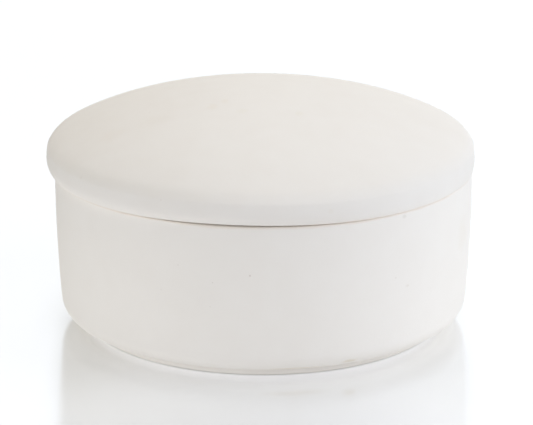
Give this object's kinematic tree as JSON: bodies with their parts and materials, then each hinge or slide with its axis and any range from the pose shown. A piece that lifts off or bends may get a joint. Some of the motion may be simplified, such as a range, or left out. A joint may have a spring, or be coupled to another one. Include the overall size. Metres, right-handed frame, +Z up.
{
  "type": "pyxis box",
  "caption": "Round unglazed ceramic box: a shallow body on a low foot ring, with a lip set in from its rim, and a domed lid that drops over the lip. It keeps small things.",
  "frame": {"origin": "centre of the plane on which the foot ring stands, on the body's axis", "axes": "+Z up along the body's axis, out of its mouth; the lid sits a little off centre, towards -X; -Y faces the viewer of the picture"},
  "size_m": [0.127, 0.127, 0.07],
  "materials": {
    "bisque_body": "matte",
    "bisque_lid": "matte"
  },
  "bodies": {
    "box_body": {"box_body": "bisque_body"},
    "lid": {"lid": "bisque_lid"}
  },
  "joints": [
    {"name": "lid_lift", "type": "slide", "parent": "box_body", "child": "lid", "axis": [0, 0, 1], "range_m": [0, 0.08]}
  ]
}
